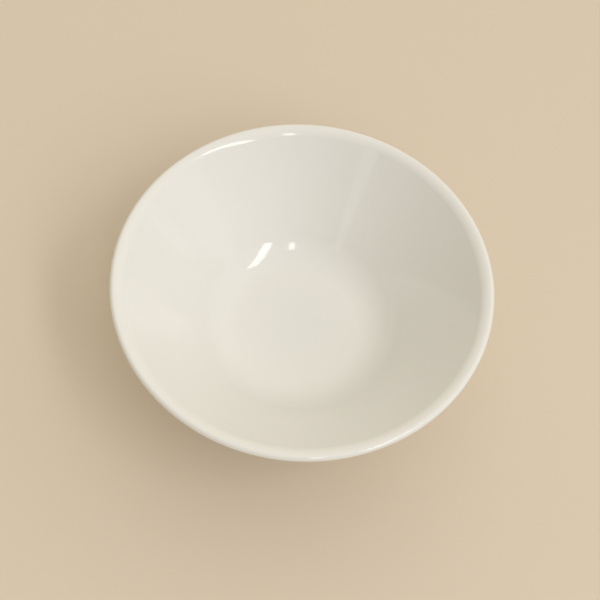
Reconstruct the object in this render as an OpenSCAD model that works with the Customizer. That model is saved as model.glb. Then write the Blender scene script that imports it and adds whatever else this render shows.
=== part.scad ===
// Sake cup: a shallow, flared porcelain cup on a low foot ring, glazed inside and out.
// Sizes are in millimetres. The cup stands on z = 0 and z is its axis.

/* [Overall] */
// Diameter of the rim, over the glaze
rim_d = 72; // [62:0.5:90]
// Depth from the top of the rim to the floor inside
depth = 19.8; // [16:0.1:26]

/* [Bowl] */
// Diameter of the flat floor inside
floor_d = 23.6; // [18:0.2:28]
// Radius of the curve between the floor and the wall
floor_curve = 10.5; // [6:0.1:13]
// Thickness of the floor and of the foot of the wall, over the glaze
base_t = 3.6; // [2.6:0.1:5]
// Thickness of the lip, over the glaze
lip_t = 1.5; // [1.2:0.1:2.4]
// Radius of the hollow under the lip
under_lip = 1.5; // [1:0.1:3]
// Slope of the inside where the lip starts to round over, in degrees
lip_slope = 8; // [2:1:25]

/* [Foot] */
// Height of the well under the cup, from the standing face to the glaze
well_h = 4.6; // [3.5:0.1:8]
// How far the outer side of the foot stands outside the edge of the floor
foot_step = 1.7; // [0.8:0.1:3]
// Width of the foot ring
foot_w = 3.6; // [3:0.1:5]
// Radius of the two edges beside the face the cup stands on
foot_round = 0.7; // [0.3:0.05:1.2]

/* [Slip] */
// Thickness of the fired slip between the bowl and the foot ring
slip_t = 0.5; // [0.3:0.05:0.8]
// How far the slip runs down the sides of the foot ring
slip_run = 0.7; // [0.5:0.05:1.2]

/* [Glaze] */
// Thickness of the glaze
glaze_t = 0.35; // [0.25:0.05:0.5]
// Height of the bare band at the bottom of the foot ring
bare_h = 1.6; // [1.3:0.1:2.2]
// Angle past the outermost edge of the rim where the inner and outer glaze meet
glaze_wrap = 40; // [20:1:50]

/* [Hidden] */
$fn = 128;
// Steps of the curves, in degrees
wide_step = 4;
tight_step = 10;

// The inside: floor, floor curve, straight wall, flare and lip
floor_r = floor_d / 2;
floor_z = well_h + base_t;
cup_h = floor_z + depth;
lip_r = lip_t / 2;
flare_r = under_lip + lip_t;
belly_r = floor_curve + base_t;
lip_c = [rim_d / 2 - lip_r, cup_h - lip_r];
flare_c = lip_c + (lip_r - flare_r) * normal(lip_slope);
curve_c = [floor_r, floor_z + floor_curve];

// Slopes of the straight wall, inside and outside
wall_run = flare_c - curve_c;
wall_lean = atan2(wall_run[1], wall_run[0]);
wall_in = wall_lean + asin((floor_curve + flare_r) / norm(wall_run));
wall_out = wall_lean + asin((belly_r + under_lip) / norm(wall_run));

// The foot ring and the slip around its top
foot_r = floor_r + foot_step;
foot_in_r = foot_r - foot_w;
clay_r = belly_r - glaze_t;
under_z = well_h + glaze_t;
slip_r = slip_t + slip_run;
seat_r = clay_r + slip_t;
seat_t = asin(foot_step / seat_r);
slip_tan = asin((foot_step + slip_r) / (clay_r + slip_r));
slip_out_c = curve_c - (clay_r + slip_r) * normal(slip_tan);
slip_in_c = [foot_in_r - slip_r, under_z - slip_r];
meet_t = -90 - glaze_wrap;

// Unit vector at right angles to a line of slope t, on its upper side
function normal(t) = [-sin(t), cos(t)];
// Points on an arc, from the direction normal(a) to the direction normal(b)
function arc(c, r, a, b, step) =
    let (n = max(2, ceil(abs(b - a) / step)))
    [for (i = [0:n]) c + r * normal(a + (b - a) * i / n)];
function flip(p) = [for (i = [len(p) - 1:-1:0]) p[i]];

// Curves at a depth d below the glazed surface
function inside(d) = concat(
    [[0, floor_z - d]],
    arc(curve_c, -floor_curve - d, 0, wall_in, wide_step),
    arc(flare_c, flare_r - d, wall_in, lip_slope, wide_step),
    arc(lip_c, lip_r - d, lip_slope, 0, tight_step),
    arc(lip_c, lip_r - d, 0, -90, tight_step),
    arc(lip_c, lip_r - d, -90, meet_t, tight_step)
);
function outside(d) = concat(
    arc(lip_c, lip_r - d, meet_t, lip_slope - 180, tight_step),
    arc(flare_c, under_lip + d, lip_slope, wall_out, wide_step),
    arc(curve_c, d - belly_r, wall_out, slip_tan, wide_step)
);
function slip_outside(d) = arc(slip_out_c, slip_r - glaze_t + d, slip_tan, 90, tight_step);
function slip_inside(d) = arc(slip_in_c, slip_r - glaze_t + d, 0, -90, tight_step);
function under_arc() = arc(curve_c, -clay_r, slip_tan, 0, wide_step);
function seat_arc() = arc(curve_c, -seat_r, seat_t, 0, wide_step);

module turn(p) {
    rotate_extrude() polygon(p);
}

// Thrown clay body, from the lip to the flat underside
module bowl() {
    color("whitesmoke") turn(concat(
        inside(glaze_t),
        outside(glaze_t),
        under_arc(),
        [[slip_in_c[0], under_z], [0, under_z]]
    ));
}

// Foot ring: it stands on its rounded lower face and its top follows the underside of the bowl
module foot_ring() {
    color("linen") turn(concat(
        arc([foot_in_r + foot_round, foot_round], foot_round, 90, 180, tight_step),
        arc([foot_r - foot_round, foot_round], foot_round, 180, 270, tight_step),
        seat_arc(),
        [[foot_in_r, under_z - slip_t]]
    ));
}

// Fired slip between bowl and foot ring, smoothed to a fillet on both sides
module slip_seam() {
    color("antiquewhite") turn(concat(
        [[slip_in_c[0], under_z]],
        flip(under_arc()),
        slip_outside(glaze_t),
        seat_arc(),
        [[foot_in_r, under_z - slip_t]],
        flip(slip_inside(glaze_t))
    ));
}

// Poured glaze: floor, wall and over the lip
module inner_glaze() {
    color("white") turn(concat(
        inside(0),
        flip(inside(glaze_t))
    ));
}

// Dipped glaze: from under the lip to a rounded edge on the foot ring
module outer_glaze() {
    color("ivory") turn(concat(
        outside(0),
        slip_outside(0),
        arc([foot_r, bare_h + glaze_t], glaze_t, 270, 180, tight_step),
        flip(slip_outside(glaze_t)),
        flip(outside(glaze_t))
    ));
}

// Glaze in the well of the foot: underside, slip fillet and inner side of the foot ring
module well_glaze() {
    color("ivory") turn(concat(
        [[0, under_z - glaze_t]],
        slip_inside(0),
        arc([foot_in_r, bare_h + glaze_t], glaze_t, 90, 180, tight_step),
        flip(slip_inside(glaze_t)),
        [[0, under_z]]
    ));
}

bowl();
foot_ring();
slip_seam();
inner_glaze();
outer_glaze();
well_glaze();
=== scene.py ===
"""Sake cup: a shallow flared porcelain cup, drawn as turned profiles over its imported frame."""

import math

import bpy
from mathutils import Matrix, Vector


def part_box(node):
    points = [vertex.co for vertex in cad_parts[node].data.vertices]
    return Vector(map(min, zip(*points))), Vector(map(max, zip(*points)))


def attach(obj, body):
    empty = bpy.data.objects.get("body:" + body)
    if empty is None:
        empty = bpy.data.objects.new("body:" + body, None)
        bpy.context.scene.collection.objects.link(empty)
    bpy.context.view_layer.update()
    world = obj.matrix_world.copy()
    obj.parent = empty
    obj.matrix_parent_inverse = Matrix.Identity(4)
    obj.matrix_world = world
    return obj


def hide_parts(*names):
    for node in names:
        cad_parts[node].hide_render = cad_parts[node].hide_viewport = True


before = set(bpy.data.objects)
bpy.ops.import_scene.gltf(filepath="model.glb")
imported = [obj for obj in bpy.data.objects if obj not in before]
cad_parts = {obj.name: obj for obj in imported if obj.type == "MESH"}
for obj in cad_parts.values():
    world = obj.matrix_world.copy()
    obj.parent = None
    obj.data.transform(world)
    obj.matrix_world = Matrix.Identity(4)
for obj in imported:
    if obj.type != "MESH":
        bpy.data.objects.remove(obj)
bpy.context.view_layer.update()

bl_info = {
    "name": "Sake Cup",
    "version": (1, 0, 0),
    "blender": (4, 5, 0),
    "location": "View3D > Sidebar > Cup",
    "description": "Models a glazed porcelain sake cup and the stage it stands on",
    "category": "Mesh",
}

# Turning: steps round the cup and along its curves, and the angle past which an edge looks sharp
TURN_STEPS = 256
WIDE_STEP = math.radians(3)
TIGHT_STEP = math.radians(7.5)
CREASE_ANGLE = math.radians(35)
PEN_SIZE = 0.001
MERGE_DISTANCE = 1e-6

# Glaze: where the darker tone on the inside floor starts to fade and where it ends, out from the axis in
# metres
DARK_FLOOR_START = 0.003
DARK_FLOOR_END = 0.0155

# Glaze: height of its thin edge on the foot and length of that edge's waves in metres
THIN_EDGE = 0.0009
THIN_EDGE_WAVES = 0.003
THIN_EDGE_SHARE = 0.8

# Glaze: pinholes, with their spacing in metres and their size in parts of it
PINHOLE_SPACING = 0.0042
PINHOLE_CORE = 0.025
PINHOLE_EDGE = 0.05
PINHOLE_SHARE = 0.16

# Glaze: gloss and ripples, with lengths and height in metres
GLAZE_IOR = 1.52
GLAZE_ROUGHNESS = 0.05
GLAZE_ROUGHNESS_SPREAD = 0.05
GLAZE_CLOUDS = 0.006
RIPPLES = 0.007
DIMPLES = 0.0011
DIMPLE_SHARE = 0.10
RIPPLE_HEIGHT = 0.00003

# Clay: size of its lighter patches and of its grain in metres
CLAY_PATCHES = 0.003
CLAY_GRAIN = 0.001
CLAY_ROUGHNESS = 0.75
CLAY_ROUGHNESS_SPREAD = 0.2

# Bare foot: patches, dull spots and grain in metres
BISCUIT_PATCHES = 0.0016
BISCUIT_SPOTS = 0.0008
BISCUIT_GRAIN = 0.00035
BISCUIT_GRAIN_HEIGHT = 0.00006
BISCUIT_ROUGHNESS = 0.78
BISCUIT_ROUGHNESS_SPREAD = 0.2

# Bare foot: the toasted line, in parts of the bare band's height, and its waves in metres
FLASH_START = 0.62
FLASH_END = 1.02
FLASH_WAVES = 0.002
FLASH_WAVE_HEIGHT = 0.0005
FLASH_SHARE = 0.55

# Bare foot: grit, with its spacing in metres and its size in parts of it
GRIT_SPACING = 0.0011
GRIT_CORE = 0.09
GRIT_EDGE = 0.16
GRIT_SHARE = 0.5
GRIT_PIT_DEPTH = 0.4

# Stage: sizes in metres, directions as elevation and as azimuth from the front towards +X, in degrees
FLOOR_SIZE = 8
FLOOR_ROUGHNESS = 0.7
LAMP_DISTANCE = 1.1
STRIP_BENDS = ((60.4, 78.2), (52.3, 53.3), (33, 37.2))
STRIP_WIDTH = 0.155
SPOT_ENDS = ((59.2, 18.8), (41.8, 14.6))
SPOT_WIDTH = 0.095
GLINT_AT = (33.5, -29.5)
GLINT_SIZE = (0.13, 0.30)
WIDE_FILL_AT = (19, 74)
WIDE_FILL_SIZE = (0.38, 0.25)
NARROW_FILL_AT = (12, 95)
NARROW_FILL_SIZE = (0.15, 0.20)
DAY_SIDE = (50, 60)
BACK_SIDE = (35, 180)

# Width of the camera's sensor in millimetres
SENSOR_WIDTH = 36

# Share of its rectangle that a lamp's face covers
FACE_SHARE = {"RECTANGLE": 1, "ELLIPSE": math.pi / 4}

# Sockets of a Mix node that mixes colours
MIX_SHARE = 0
MIX_FIRST = 6
MIX_SECOND = 7
MIX_RESULT = 2


def low(node):
    """Lowest corner of a node's box."""
    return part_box(node)[0]


def high(node):
    """Highest corner of a node's box."""
    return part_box(node)[1]


def length(name, description, default):
    return bpy.props.FloatProperty(
        name=name, description=description, default=default, unit="LENGTH", precision=5
    )


def angle(name, description, degrees):
    return bpy.props.FloatProperty(
        name=name, description=description, default=math.radians(degrees), subtype="ANGLE"
    )


def colour(name, description, default):
    return bpy.props.FloatVectorProperty(
        name=name, description=description, default=default, size=3, subtype="COLOR", min=0, max=1
    )


def number(name, description, default, subtype="NONE"):
    return bpy.props.FloatProperty(
        name=name, description=description, default=default, subtype=subtype
    )


class CupSizes(bpy.types.PropertyGroup):
    """Sizes of the cup, over the glaze where nothing else is said."""

    rim_r: length("Rim radius", "From the axis to the outer edge of the lip", -low("inner_glaze").x)
    cup_h: length("Height", "From the standing face to the top of the lip", high("inner_glaze").z)
    glaze_t: length("Glaze", "Thickness of the glaze", high("inner_glaze").z - high("bowl").z)
    lip_t: length("Lip", "Thickness of the lip", 0.0015)
    under_lip: length("Under the lip", "Radius of the hollow under the lip", 0.0015)
    lip_slope: angle("Lip slope", "Slope of the inside where the lip starts to round over", 8)
    glaze_wrap: angle("Glaze wrap", "Where the two glazes meet, past the lip's outer edge", 40)
    floor_r: length("Floor radius", "Radius of the flat floor inside", 0.0118)
    floor_curve: length("Floor curve", "Radius between the floor and the wall", 0.0105)
    floor_clay_z: length("Floor of the clay", "Clay floor above the standing face", low("inner_glaze").z)
    under_z: length("Underside", "Clay underside above the standing face", low("bowl").z)
    foot_r: length("Foot radius", "Outer radius of the foot ring", high("foot_ring").y)
    foot_in_r: length("Well radius", "Inner radius of the foot ring", high("well_glaze").y)
    foot_round: length("Foot edge", "Radius of the edges of the standing face", 0.0007)
    bare_h: length("Bare band", "Height of the unglazed band", low("well_glaze").z)
    slip_r: length("Slip fillet", "Radius of the slip fillets", low("bowl").z - low("slip_seam").z)
    slip_t: length("Slip", "Thickness of the slip over the foot ring", 0.0005)


class CupColours(bpy.types.PropertyGroup):
    """Colours of the glaze and the clay."""

    glaze: colour("Glaze", "Main colour of the glaze", (0.80, 0.788, 0.742))
    # Darker, greyer tone for the inside floor of the bowl, fading out towards the wall
    glaze_dark_floor: colour("Thick glaze", "Where the glaze has pooled", (0.752, 0.748, 0.707))
    glaze_thin: colour("Thin glaze", "Where the glaze is thin on an edge", (0.79, 0.75, 0.675))
    clay: colour("Clay", "Fired clay under the glaze", (0.76, 0.73, 0.68))
    biscuit: colour("Biscuit", "Bare clay of the standing face", (0.70, 0.65, 0.58))
    flash: colour("Flashing", "Toasted line below the glaze, and pinholes in it", (0.60, 0.45, 0.31))
    grit: colour("Grit", "Dark grains in the bare clay", (0.36, 0.31, 0.26))


class StageSettings(bpy.types.PropertyGroup):
    """Camera, lamps and floor."""

    distance: length("Camera distance", "From the camera to the middle of the rim", 0.230)
    elevation: angle("Camera elevation", "Camera above the horizon, seen from the rim", 60.3)
    pan: angle("Camera pan", "Turn of the camera to its right", -0.05)
    tilt: angle("Camera tilt", "Turn of the camera down", 0.995)
    roll: angle("Camera roll", "Turn of the camera round its line of sight", -5.61)
    lens: number("Lens", "Focal length of the camera", 73.91, "DISTANCE_CAMERA")
    floor: colour("Floor", "Colour of the floor", (0.70, 0.60, 0.47))
    ambient: colour("Room light", "Colour of the light from all round", (1.0, 0.86, 0.61))
    ambient_level: number("Room level", "Strength of the light from all round", 0.27)
    day: colour("Daylight", "Colour of the light from the front right", (0.845, 0.905, 1.0))
    day_level: number("Day level", "Strength of the daylight where it is brightest", 0.765)
    back: colour("Back light", "Colour of the light from behind", (1.0, 0.92, 0.78))
    back_level: number("Back level", "Strength of the back light where it is brightest", 0.69)
    strip_level: number("Strip lamp", "Brightness of the long lamp's face", 6.5)
    spot_level: number("Spot lamp", "Brightness of the small lamp's face", 6)
    glint_level: number("Glint", "Brightness of the faint lamp's face", 0.65)
    fill_level: number("Fill lamps", "Brightness of the faces of the two low lamps", 0.3)


class Profile:
    """The outline of a piece in the XZ plane, drawn by extruding and spinning one point."""

    def __init__(self, name, start):
        bpy.ops.object.select_all(action="DESELECT")
        bpy.ops.mesh.primitive_plane_add(size=PEN_SIZE, location=(start[0], 0, start[1]))
        self.piece = bpy.context.object
        self.piece.name = name
        self.piece.data.name = name
        bpy.ops.object.transform_apply(location=True, rotation=True, scale=True)
        bpy.ops.object.mode_set(mode="EDIT")
        bpy.ops.mesh.merge(type="CENTER")
        self.first = Vector(start)
        self.at = Vector(start)

    def line(self, end):
        """Draws straight to a point, given as radius and height."""
        step = Vector(end) - self.at
        bpy.ops.mesh.extrude_vertices_move(TRANSFORM_OT_translate={"value": (step.x, 0, step.y)})
        self.at = Vector(end)

    def arc(self, centre, sweep, step):
        """Draws round a centre, anticlockwise for a positive sweep, in steps of at most that angle."""
        steps = max(2, math.ceil(abs(sweep) / step))
        bpy.ops.mesh.spin(steps=steps, angle=sweep, center=(centre.x, 0, centre.y), axis=(0, 1, 0))
        self.at = centre + Matrix.Rotation(sweep, 2) @ (self.at - centre)

    def close(self):
        """Draws straight back to the first point."""
        self.line(self.first)

    def turn(self):
        """Turns the outline round the cup's axis and returns the finished piece."""
        bpy.ops.mesh.select_all(action="SELECT")
        bpy.ops.mesh.remove_doubles(threshold=MERGE_DISTANCE)
        bpy.ops.mesh.spin(steps=TURN_STEPS, angle=math.tau, center=(0, 0, 0), axis=(0, 0, 1))
        bpy.ops.mesh.select_all(action="SELECT")
        bpy.ops.mesh.remove_doubles(threshold=MERGE_DISTANCE)
        bpy.ops.mesh.normals_make_consistent(inside=False)
        bpy.ops.mesh.select_all(action="DESELECT")
        bpy.ops.mesh.select_non_manifold()
        bpy.ops.object.mode_set(mode="OBJECT")
        if any(corner.select for corner in self.piece.data.vertices):
            raise RuntimeError(self.piece.name + " isn't closed")
        bpy.ops.object.shade_smooth_by_angle(angle=CREASE_ANGLE)
        return self.piece


def normal(slope):
    """Unit vector at right angles to a line of that slope, on its upper side."""
    return Vector((-math.sin(slope), math.cos(slope)))


def toward(elevation, azimuth):
    """Unit vector from the cup in the direction of two angles in degrees."""
    e = math.radians(elevation)
    a = math.radians(azimuth)
    return Vector((math.sin(a) * math.cos(e), -math.cos(a) * math.cos(e), math.sin(e)))


def lamp_place(direction):
    """Where a lamp stands in that direction."""
    return toward(*direction) * LAMP_DISTANCE


class CupForm:
    """Centres and slopes that the pieces' profiles share, from the sizes."""

    def __init__(self, s):
        self.s = s
        self.lip_r = s.lip_t / 2
        self.flare_r = s.under_lip + s.lip_t
        self.floor_z = s.floor_clay_z + s.glaze_t
        self.clay_r = s.floor_curve + self.floor_z - s.under_z
        self.belly_r = self.clay_r + s.glaze_t
        self.lip_c = Vector((s.rim_r - self.lip_r, s.cup_h - self.lip_r))
        self.flare_c = self.lip_c + (self.lip_r - self.flare_r) * normal(s.lip_slope)
        self.curve_c = Vector((s.floor_r, self.floor_z + s.floor_curve))
        # Slopes of the straight wall, inside and outside, and where the two glazes meet on the lip
        run = self.flare_c - self.curve_c
        lean = math.atan2(run.y, run.x)
        self.wall_in = lean + math.asin((s.floor_curve + self.flare_r) / run.length)
        self.wall_out = lean + math.asin((self.belly_r + s.under_lip) / run.length)
        self.meet = -math.pi / 2 - s.glaze_wrap
        # The foot ring's seat and the slip fillets beside it
        self.seat_r = self.clay_r + s.slip_t
        self.seat = math.asin((s.foot_r - s.floor_r) / self.seat_r)
        self.slip_tan = math.asin((s.foot_r + s.slip_r - s.floor_r) / (self.clay_r + s.slip_r))
        self.slip_out_c = self.curve_c - (self.clay_r + s.slip_r) * normal(self.slip_tan)
        self.slip_in_c = Vector((s.foot_in_r - s.slip_r, s.under_z - s.slip_r))

    def inside(self, pen, depth):
        """Floor, floor curve, wall, flare and lip at that depth under the glazed surface."""
        s = self.s
        pen.line((s.floor_r, self.floor_z - depth))
        pen.arc(self.curve_c, self.wall_in, WIDE_STEP)
        pen.line(self.flare_c + (self.flare_r - depth) * normal(self.wall_in))
        pen.arc(self.flare_c, s.lip_slope - self.wall_in, WIDE_STEP)
        pen.arc(self.lip_c, self.meet - s.lip_slope, TIGHT_STEP)

    def inside_back(self, pen, depth):
        """The same way back, from the lip to the axis."""
        s = self.s
        pen.arc(self.lip_c, s.lip_slope - self.meet, TIGHT_STEP)
        pen.arc(self.flare_c, self.wall_in - s.lip_slope, WIDE_STEP)
        pen.line(self.curve_c - (s.floor_curve + depth) * normal(self.wall_in))
        pen.arc(self.curve_c, -self.wall_in, WIDE_STEP)
        pen.line((0, self.floor_z - depth))

    def outside(self, pen, depth):
        """Under the lip, down the wall and round the belly to the slip fillet."""
        s = self.s
        pen.arc(self.lip_c, s.lip_slope - math.pi - self.meet, TIGHT_STEP)
        pen.arc(self.flare_c, self.wall_out - s.lip_slope, WIDE_STEP)
        pen.line(self.curve_c - (self.belly_r - depth) * normal(self.wall_out))
        pen.arc(self.curve_c, self.slip_tan - self.wall_out, WIDE_STEP)

    def outside_back(self, pen, depth):
        """The same way back, from the slip fillet to under the lip."""
        s = self.s
        pen.arc(self.curve_c, self.wall_out - self.slip_tan, WIDE_STEP)
        pen.line(self.flare_c + (s.under_lip + depth) * normal(self.wall_out))
        pen.arc(self.flare_c, s.lip_slope - self.wall_out, WIDE_STEP)
        pen.arc(self.lip_c, self.meet - s.lip_slope + math.pi, TIGHT_STEP)


class Socket:
    """A node's output, so that shader maths reads as an expression."""

    def __init__(self, nodes, link):
        self.nodes = nodes
        self.link = link

    def math(self, operation, first, second):
        return self.nodes.node("ShaderNodeMath", {"operation": operation}, {0: first, 1: second})

    def __add__(self, other):
        return self.math("ADD", self, other)

    def __radd__(self, other):
        return self.math("ADD", other, self)

    def __sub__(self, other):
        return self.math("SUBTRACT", self, other)

    def __rsub__(self, other):
        return self.math("SUBTRACT", other, self)

    def __mul__(self, other):
        return self.math("MULTIPLY", self, other)

    def __rmul__(self, other):
        return self.math("MULTIPLY", other, self)


class Nodes:
    """A node tree whose nodes are made by their type, their settings and their sockets."""

    def __init__(self, tree):
        self.tree = tree

    def node(self, kind, settings=None, sockets=None, output=0):
        """Makes a node and returns one of its outputs."""
        made = self.tree.nodes.new(kind)
        for key, value in (settings or {}).items():
            setattr(made, key, value)
        for key, value in (sockets or {}).items():
            if isinstance(value, Socket):
                self.tree.links.new(value.link, made.inputs[key])
            else:
                made.inputs[key].default_value = value
        return Socket(self, made.outputs[output])


class Finish(Nodes):
    """A material with one Principled shader, and the nodes that vary it."""

    def __init__(self, name):
        self.material = bpy.data.materials.new(name)
        self.material.use_nodes = True
        super().__init__(self.material.node_tree)
        self.shader = self.tree.nodes["Principled BSDF"]
        self.place = self.node("ShaderNodeTexCoord", output="Object")

    def set(self, socket, value):
        """Sets one of the shader's sockets, to a plain value or to what another node gives."""
        if isinstance(value, Socket):
            self.tree.links.new(value.link, self.shader.inputs[socket])
        else:
            self.shader.inputs[socket].default_value = value

    def noise(self, size, detail=2):
        """Noise from 0 to 1 whose lumps are about that size, in metres."""
        return self.node(
            "ShaderNodeTexNoise",
            {"noise_dimensions": "3D"},
            {"Vector": self.place, "Scale": 1 / size, "Detail": detail},
        )

    def grains(self, size):
        """Distance from the nearest of many scattered points, in parts of that size."""
        return self.node(
            "ShaderNodeTexVoronoi",
            {"feature": "F1"},
            {"Vector": self.place, "Scale": 1 / size},
            "Distance",
        )

    def ramp(self, value, start, end):
        """Rises smoothly from 0 where the value is start to 1 where it is end."""
        return self.node(
            "ShaderNodeMapRange",
            {"interpolation_type": "SMOOTHSTEP"},
            {"Value": value, "From Min": start, "From Max": end},
        )

    def mix(self, share, first, second):
        """One colour changing into another."""
        return self.node(
            "ShaderNodeMix",
            {"data_type": "RGBA"},
            {MIX_SHARE: share, MIX_FIRST: self.opaque(first), MIX_SECOND: self.opaque(second)},
            MIX_RESULT,
        )

    @staticmethod
    def opaque(value):
        return value if isinstance(value, Socket) else (*value, 1)

    def axis(self, letter):
        """One coordinate of the place on the cup, in metres."""
        return self.node("ShaderNodeSeparateXYZ", None, {0: self.place}, letter)

    def radius(self):
        """Distance from the cup's axis, in metres."""
        flat = self.node(
            "ShaderNodeVectorMath", {"operation": "MULTIPLY"}, {0: self.place, 1: (1, 1, 0)}
        )
        return self.node("ShaderNodeVectorMath", {"operation": "LENGTH"}, {0: flat}, "Value")

    def bump(self, height, depth):
        """Raises the surface by height times depth, in metres."""
        relief = self.node("ShaderNodeBump", None, {"Height": height, "Distance": depth}, "Normal")
        self.set("Normal", relief)


def glaze_finish(colours, form):
    """Glossy warm white glaze: darker and greyer on the inside floor, thin at its edge on the foot, with
    pinholes.
    """
    finish = Finish("glaze")
    finish.set("IOR", GLAZE_IOR)
    height = finish.axis("Z")
    # The inside floor takes a darker, greyer tone that fades out towards the wall
    dark_floor_share = finish.ramp(finish.radius(), DARK_FLOOR_END, DARK_FLOOR_START)
    inside = finish.ramp(height, form.s.under_z, form.floor_z)
    tone = finish.mix(dark_floor_share * inside, colours.glaze, colours.glaze_dark_floor)
    edge = form.s.bare_h + THIN_EDGE * finish.noise(THIN_EDGE_WAVES)
    thin = finish.ramp(height - edge, THIN_EDGE, 0)
    tone = finish.mix(thin * THIN_EDGE_SHARE, tone, colours.glaze_thin)
    pinholes = finish.ramp(finish.grains(PINHOLE_SPACING), PINHOLE_EDGE, PINHOLE_CORE)
    tone = finish.mix(pinholes * PINHOLE_SHARE, tone, colours.flash)
    finish.set("Base Color", tone)
    clouds = finish.noise(GLAZE_CLOUDS, detail=4)
    finish.set("Roughness", GLAZE_ROUGHNESS + GLAZE_ROUGHNESS_SPREAD * clouds)
    ripples = finish.noise(RIPPLES, detail=1) + DIMPLE_SHARE * finish.noise(DIMPLES)
    finish.bump(ripples, RIPPLE_HEIGHT)
    return finish.material


def clay_finish(colours):
    """Fired clay under the glaze, shared by the bowl and the slip."""
    made = bpy.data.materials.get("porcelain")
    if made is not None:
        return made
    finish = Finish("porcelain")
    patches = finish.noise(CLAY_PATCHES, detail=4)
    finish.set("Base Color", finish.mix(patches, colours.clay, colours.glaze))
    finish.set("Roughness", CLAY_ROUGHNESS + CLAY_ROUGHNESS_SPREAD * finish.noise(CLAY_GRAIN))
    return finish.material


def biscuit_finish(colours, bare_h):
    """Bare fired clay: fine grain, scattered grit and a toasted line below the glaze."""
    finish = Finish("biscuit")
    patches = finish.noise(BISCUIT_PATCHES, detail=5)
    tone = finish.mix(patches, colours.biscuit, colours.clay)
    height = finish.axis("Z") + FLASH_WAVE_HEIGHT * finish.noise(FLASH_WAVES, detail=3)
    line = finish.ramp(height, bare_h * FLASH_START, bare_h * FLASH_END)
    tone = finish.mix(line * FLASH_SHARE, tone, colours.flash)
    specks = finish.ramp(finish.grains(GRIT_SPACING), GRIT_EDGE, GRIT_CORE)
    tone = finish.mix(specks * GRIT_SHARE, tone, colours.grit)
    finish.set("Base Color", tone)
    spots = finish.noise(BISCUIT_SPOTS, detail=3)
    finish.set("Roughness", BISCUIT_ROUGHNESS + BISCUIT_ROUGHNESS_SPREAD * spots)
    grain = finish.noise(BISCUIT_GRAIN, detail=4) - GRIT_PIT_DEPTH * specks
    finish.bump(grain, BISCUIT_GRAIN_HEIGHT)
    return finish.material


def seat(piece, node, material):
    """Gives a finished piece its finish and its place in the frame."""
    piece.data.materials.clear()
    piece.data.materials.append(material)
    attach(piece, "root")
    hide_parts(node)


class CUP_OT_bowl(bpy.types.Operator):
    """Turn the clay bowl, from the lip to its flat underside"""

    bl_idname = "cup.bowl"
    bl_label = "Bowl"

    def execute(self, context):
        form = CupForm(context.scene.cup_sizes)
        s = form.s
        pen = Profile("clay_bowl", (0, form.floor_z - s.glaze_t))
        form.inside(pen, s.glaze_t)
        form.outside(pen, s.glaze_t)
        pen.arc(form.curve_c, -form.slip_tan, WIDE_STEP)
        pen.line((0, s.under_z))
        seat(pen.turn(), "bowl", clay_finish(context.scene.cup_colours))
        return {"FINISHED"}


class CUP_OT_slip(bpy.types.Operator):
    """Turn the slip between the bowl and the foot ring, with a fillet on both sides"""

    bl_idname = "cup.slip"
    bl_label = "Slip"

    def execute(self, context):
        form = CupForm(context.scene.cup_sizes)
        s = form.s
        pen = Profile("slip_seam_fillet", (form.slip_in_c.x, s.under_z))
        pen.line((s.floor_r, s.under_z))
        pen.arc(form.curve_c, form.slip_tan, WIDE_STEP)
        pen.arc(form.slip_out_c, math.pi / 2 - form.slip_tan, TIGHT_STEP)
        pen.line(form.curve_c - form.seat_r * normal(form.seat))
        pen.arc(form.curve_c, -form.seat, WIDE_STEP)
        pen.line((s.foot_in_r, s.under_z - s.slip_t))
        pen.line((s.foot_in_r, form.slip_in_c.y))
        pen.arc(form.slip_in_c, math.pi / 2, TIGHT_STEP)
        seat(pen.turn(), "slip_seam", clay_finish(context.scene.cup_colours))
        return {"FINISHED"}


class CUP_OT_foot(bpy.types.Operator):
    """Turn the foot ring, rounded beside the face it stands on"""

    bl_idname = "cup.foot"
    bl_label = "Foot ring"

    def execute(self, context):
        form = CupForm(context.scene.cup_sizes)
        s = form.s
        pen = Profile("standing_foot", (s.foot_in_r, s.foot_round))
        pen.arc(Vector((s.foot_in_r + s.foot_round, s.foot_round)), math.pi / 2, TIGHT_STEP)
        pen.line((s.foot_r - s.foot_round, 0))
        pen.arc(Vector((s.foot_r - s.foot_round, s.foot_round)), math.pi / 2, TIGHT_STEP)
        pen.line(form.curve_c - form.seat_r * normal(form.seat))
        pen.arc(form.curve_c, -form.seat, WIDE_STEP)
        pen.line((s.foot_in_r, s.under_z - s.slip_t))
        pen.close()
        seat(pen.turn(), "foot_ring", biscuit_finish(context.scene.cup_colours, s.bare_h))
        return {"FINISHED"}


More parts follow.
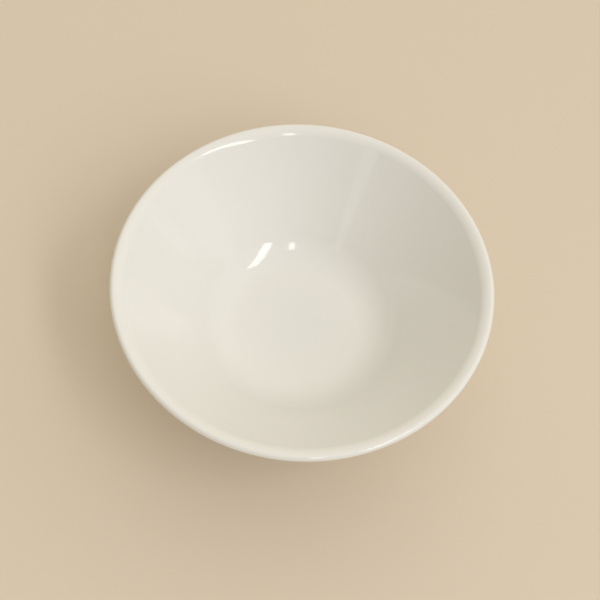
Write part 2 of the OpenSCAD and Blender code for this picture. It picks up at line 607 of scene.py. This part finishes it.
class CUP_OT_glaze(bpy.types.Operator):
    """Coat the inside, the outside and the well of the foot with glaze"""

    bl_idname = "cup.glaze"
    bl_label = "Glaze"

    def execute(self, context):
        form = CupForm(context.scene.cup_sizes)
        glaze = glaze_finish(context.scene.cup_colours, form)
        seat(self.inner(form), "inner_glaze", glaze)
        seat(self.outer(form), "outer_glaze", glaze)
        seat(self.well(form), "well_glaze", glaze)
        return {"FINISHED"}

    def inner(self, form):
        """Poured coat: floor, wall and over the lip."""
        s = form.s
        pen = Profile("poured_glaze", (0, form.floor_z))
        form.inside(pen, 0)
        pen.line(form.lip_c + (form.lip_r - s.glaze_t) * normal(form.meet))
        form.inside_back(pen, s.glaze_t)
        return pen.turn()

    def outer(self, form):
        """Dipped coat: from under the lip to a rounded edge on the foot ring."""
        s = form.s
        pen = Profile("dipped_glaze", form.lip_c + form.lip_r * normal(form.meet))
        form.outside(pen, 0)
        pen.arc(form.slip_out_c, math.pi / 2 - form.slip_tan, TIGHT_STEP)
        pen.line((s.foot_r + s.glaze_t, s.bare_h + s.glaze_t))
        pen.arc(Vector((s.foot_r, s.bare_h + s.glaze_t)), -math.pi / 2, TIGHT_STEP)
        pen.line((s.foot_r, form.slip_out_c.y))
        pen.arc(form.slip_out_c, form.slip_tan - math.pi / 2, TIGHT_STEP)
        form.outside_back(pen, s.glaze_t)
        pen.close()
        return pen.turn()

    def well(self, form):
        """Coat in the well: underside, slip fillet and inner side of the foot ring."""
        s = form.s
        pen = Profile("well_glaze_coat", (0, s.under_z - s.glaze_t))
        pen.line((form.slip_in_c.x, s.under_z - s.glaze_t))
        pen.arc(form.slip_in_c, -math.pi / 2, TIGHT_STEP)
        pen.line((s.foot_in_r - s.glaze_t, s.bare_h + s.glaze_t))
        pen.arc(Vector((s.foot_in_r, s.bare_h + s.glaze_t)), math.pi / 2, TIGHT_STEP)
        pen.line((s.foot_in_r, form.slip_in_c.y))
        pen.arc(form.slip_in_c, math.pi / 2, TIGHT_STEP)
        pen.line((0, s.under_z))
        return pen.turn()


class CUP_OT_stage(bpy.types.Operator):
    """Set the floor, the room light, the lamps and the camera"""

    bl_idname = "cup.stage"
    bl_label = "Stage"

    def execute(self, context):
        scene = context.scene
        stage = scene.cup_stage
        self.floor(stage)
        self.room(scene, stage)
        for ends in zip(STRIP_BENDS, STRIP_BENDS[1:]):
            self.bar("strip", ends, STRIP_WIDTH, stage.strip_level, "RECTANGLE")
        self.bar("spot", SPOT_ENDS, SPOT_WIDTH, stage.spot_level, "ELLIPSE")
        self.lamp("glint", lamp_place(GLINT_AT), GLINT_SIZE, stage.glint_level)
        self.lamp("wide_fill", lamp_place(WIDE_FILL_AT), WIDE_FILL_SIZE, stage.fill_level)
        self.lamp("narrow_fill", lamp_place(NARROW_FILL_AT), NARROW_FILL_SIZE, stage.fill_level)
        self.camera(scene, stage, scene.cup_sizes.cup_h)
        scene.view_settings.view_transform = "Standard"
        return {"FINISHED"}

    def floor(self, stage):
        """A plain pale floor for the cup to stand on."""
        bpy.ops.object.select_all(action="DESELECT")
        bpy.ops.mesh.primitive_plane_add(size=FLOOR_SIZE)
        floor = bpy.context.object
        floor.name = "floor"
        finish = Finish("floor")
        finish.set("Base Color", (*stage.floor, 1))
        finish.set("Roughness", FLOOR_ROUGHNESS)
        floor.data.materials.append(finish.material)

    def room(self, scene, stage):
        """Even light from all round, daylight from the front right and warm light from behind."""
        world = bpy.data.worlds.new("room")
        world.use_nodes = True
        scene.world = world
        even = world.node_tree.nodes["Background"]
        even.inputs["Color"].default_value = (*stage.ambient, 1)
        even.inputs["Strength"].default_value = stage.ambient_level
        nodes = Nodes(world.node_tree)
        light = Socket(nodes, even.outputs[0])
        light = self.glow(nodes, light, toward(*DAY_SIDE), stage.day, stage.day_level)
        light = self.glow(nodes, light, toward(*BACK_SIDE), stage.back, stage.back_level)
        world.node_tree.links.new(light.link, world.node_tree.nodes["World Output"].inputs["Surface"])

    def glow(self, nodes, light, side, tint, level):
        """Adds soft light that is brightest in the middle of one side and fades towards the other."""
        way = nodes.node("ShaderNodeTexCoord", output="Generated")
        facing = nodes.node(
            "ShaderNodeVectorMath", {"operation": "DOT_PRODUCT"}, {0: way, 1: side}, "Value"
        )
        share = 0.5 + 0.5 * facing
        square = share * share
        strength = level * square * square
        added = nodes.node("ShaderNodeBackground", None, {"Color": (*tint, 1), "Strength": strength})
        return nodes.node("ShaderNodeAddShader", None, {0: light, 1: added})

    def bar(self, name, ends, width, level, shape):
        """A lamp that reaches from one direction to another."""
        first, last = (lamp_place(end) for end in ends)
        run = last - first
        self.lamp(name, (first + last) / 2, (run.length, width), level, run, shape)

    def lamp(self, name, place, size, level, along=None, shape="RECTANGLE"):
        """A flat lamp that faces the cup; along is the direction of its first side."""
        width, height = size
        data = bpy.data.lights.new(name, "AREA")
        data.shape = shape
        data.size = width
        data.size_y = height
        data.energy = level * math.pi * width * height * FACE_SHARE[shape]
        lamp = bpy.data.objects.new(name, data)
        bpy.context.scene.collection.objects.link(lamp)
        back = place.normalized()
        along = Vector((0, 0, 1)).cross(back) if along is None else along
        x = (along - back * along.dot(back)).normalized()
        turn = Matrix((x, back.cross(x), back)).transposed()
        lamp.matrix_world = Matrix.Translation(place) @ turn.to_4x4()

    def camera(self, scene, stage, rim_z):
        """A camera in front of the cup that looks down into it."""
        data = bpy.data.cameras.new("camera")
        data.lens = stage.lens
        data.sensor_width = SENSOR_WIDTH
        camera = bpy.data.objects.new("camera", data)
        scene.collection.objects.link(camera)
        turn = Matrix.Rotation(math.pi / 2 - stage.elevation, 4, "X")
        place = Vector((0, 0, rim_z)) + turn @ Vector((0, 0, stage.distance))
        turn = turn @ Matrix.Rotation(-stage.pan, 4, "Y")
        turn = turn @ Matrix.Rotation(-stage.tilt, 4, "X")
        turn = turn @ Matrix.Rotation(-stage.roll, 4, "Z")
        camera.matrix_world = Matrix.Translation(place) @ turn
        scene.camera = camera


class CUP_PT_panel(bpy.types.Panel):
    """The cup's pieces, sizes, colours and stage"""

    bl_label = "Sake Cup"
    bl_space_type = "VIEW_3D"
    bl_region_type = "UI"
    bl_category = "Cup"

    def draw(self, context):
        for operator in OPERATORS:
            self.layout.operator(operator.bl_idname)
        for name in GROUPS:
            group = getattr(context.scene, name)
            for key in group.bl_rna.properties.keys():
                if key not in ("rna_type", "name"):
                    self.layout.prop(group, key)


GROUPS = {"cup_sizes": CupSizes, "cup_colours": CupColours, "cup_stage": StageSettings}
OPERATORS = (CUP_OT_bowl, CUP_OT_slip, CUP_OT_foot, CUP_OT_glaze, CUP_OT_stage)
CLASSES = (*GROUPS.values(), *OPERATORS, CUP_PT_panel)


def register():
    for cls in CLASSES:
        bpy.utils.register_class(cls)
    for name, group in GROUPS.items():
        setattr(bpy.types.Scene, name, bpy.props.PointerProperty(type=group))


def unregister():
    for name in GROUPS:
        delattr(bpy.types.Scene, name)
    for cls in reversed(CLASSES):
        bpy.utils.unregister_class(cls)


def main():
    register()
    bpy.ops.cup.bowl()
    bpy.ops.cup.slip()
    bpy.ops.cup.foot()
    bpy.ops.cup.glaze()
    bpy.ops.cup.stage()


if __name__ == "__main__":
    main()
